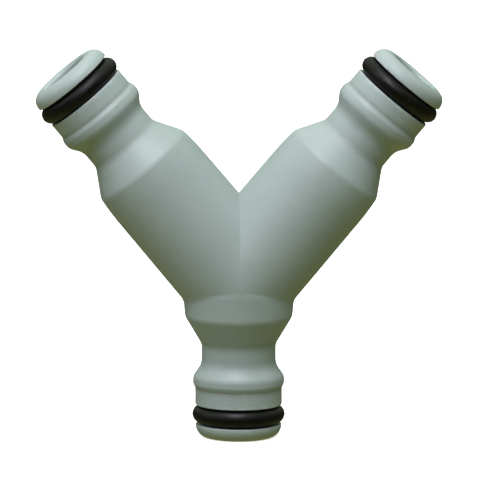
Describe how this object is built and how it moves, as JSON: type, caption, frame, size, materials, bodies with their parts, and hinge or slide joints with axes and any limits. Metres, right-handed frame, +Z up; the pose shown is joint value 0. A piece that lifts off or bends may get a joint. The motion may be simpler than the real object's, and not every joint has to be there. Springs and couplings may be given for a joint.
{
  "type": "hose splitter",
  "caption": "Y-shaped moulded plastic hose splitter: its inlet spigot feeds angled outlet spigots, and every spigot is a male quick-connect end with a rubber O-ring in a groove.",
  "frame": {"origin": "centre of the inlet spigot's end face, on which the part stands upright", "axes": "+Z up along the inlet's axis towards the outlets, +X towards the right outlet, +Y away from the front; the arms lie in the XZ plane"},
  "size_m": [0.077, 0.0214, 0.0743],
  "materials": {
    "grey_plastic": "cool light grey moulded plastic with a slight green tint, fine matt surface",
    "black_rubber": "black nitrile rubber, smooth, faintly greased"
  },
  "bodies": {
    "root": {"splitter_body": "grey_plastic", "inlet_o_ring": "black_rubber", "left_o_ring": "black_rubber", "right_o_ring": "black_rubber"}
  },
  "joints": []
}
